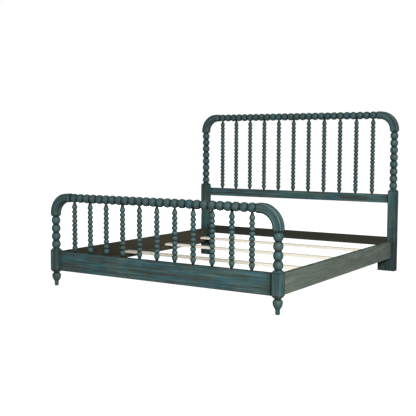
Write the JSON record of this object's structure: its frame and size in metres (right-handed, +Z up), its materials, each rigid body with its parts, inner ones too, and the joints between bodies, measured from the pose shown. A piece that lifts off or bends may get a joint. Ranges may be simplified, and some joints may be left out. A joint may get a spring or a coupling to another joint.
{
  "type": "panel bed",
  "caption": "Wooden panel bed with turned spool rails and spindles in headboard and footboard, flat side rails, ledgers and cross slats for a mattress.",
  "frame": {"origin": "on the floor, under the centre of the bed", "axes": "+X to the right seen from the foot end, +Y from the foot end to the head end, +Z up"},
  "size_m": [2.051, 2.265, 1.4223],
  "materials": {
    "painted_wood": "worn grey-green paint with brown glaze in the grooves",
    "dark_wood": "near-black brown stain",
    "slat_wood": "planed pale softwood",
    "dowel_wood": "plain beech",
    "zinc_steel": "zinc-plated",
    "brass_insert": "plain brass",
    "glide_plastic": "black nylon"
  },
  "bodies": {
    "root": {"elbow_dowels": "dowel_wood", "floor_glides": "glide_plastic", "footboard_bottom_rail": "painted_wood", "footboard_elbow_left": "painted_wood", "footboard_elbow_right": "painted_wood", "footboard_post_left": "painted_wood", "footboard_post_right": "painted_wood", "footboard_spindle_01": "painted_wood", "footboard_spindle_02": "painted_wood", "footboard_spindle_03": "painted_wood", "footboard_spindle_04": "painted_wood", "footboard_spindle_05": "painted_wood", "footboard_spindle_06": "painted_wood", "footboard_spindle_07": "painted_wood", "footboard_spindle_08": "painted_wood", "footboard_spindle_09": "painted_wood", "footboard_spindle_10": "painted_wood", "footboard_spindle_11": "painted_wood", "footboard_top_rail": "painted_wood", "headboard_elbow_left": "painted_wood", "headboard_elbow_right": "painted_wood", "headboard_leg_left": "painted_wood", "headboard_leg_plate_left": "painted_wood", "headboard_leg_plate_right": "painted_wood", "headboard_leg_right": "painted_wood", "headboard_low_rail": "dark_wood", "headboard_mid_rail": "painted_wood", "headboard_post_left": "painted_wood", "headboard_post_right": "painted_wood", "headboard_spindle_01": "painted_wood", "headboard_spindle_02": "painted_wood", "headboard_spindle_03": "painted_wood", "headboard_spindle_04": "painted_wood", "headboard_spindle_05": "painted_wood", "headboard_spindle_06": "painted_wood", "headboard_spindle_07": "painted_wood", "headboard_spindle_08": "painted_wood", "headboard_spindle_09": "painted_wood", "headboard_spindle_10": "painted_wood", "headboard_spindle_11": "painted_wood", "headboard_top_rail": "painted_wood", "ledger_left": "dark_wood", "ledger_right": "dark_wood", "ledger_screws": "zinc_steel", "leg_plugs": "painted_wood", "leg_screws": "zinc_steel", "plate_dowels": "dowel_wood", "rail_bolts": "zinc_steel", "rail_dowels": "dowel_wood", "side_rail_left": "painted_wood", "side_rail_right": "painted_wood", "slat_1": "slat_wood", "slat_2": "slat_wood", "slat_3": "slat_wood", "slat_4": "slat_wood", "slat_screws": "zinc_steel", "threaded_inserts": "brass_insert"}
  },
  "joints": []
}
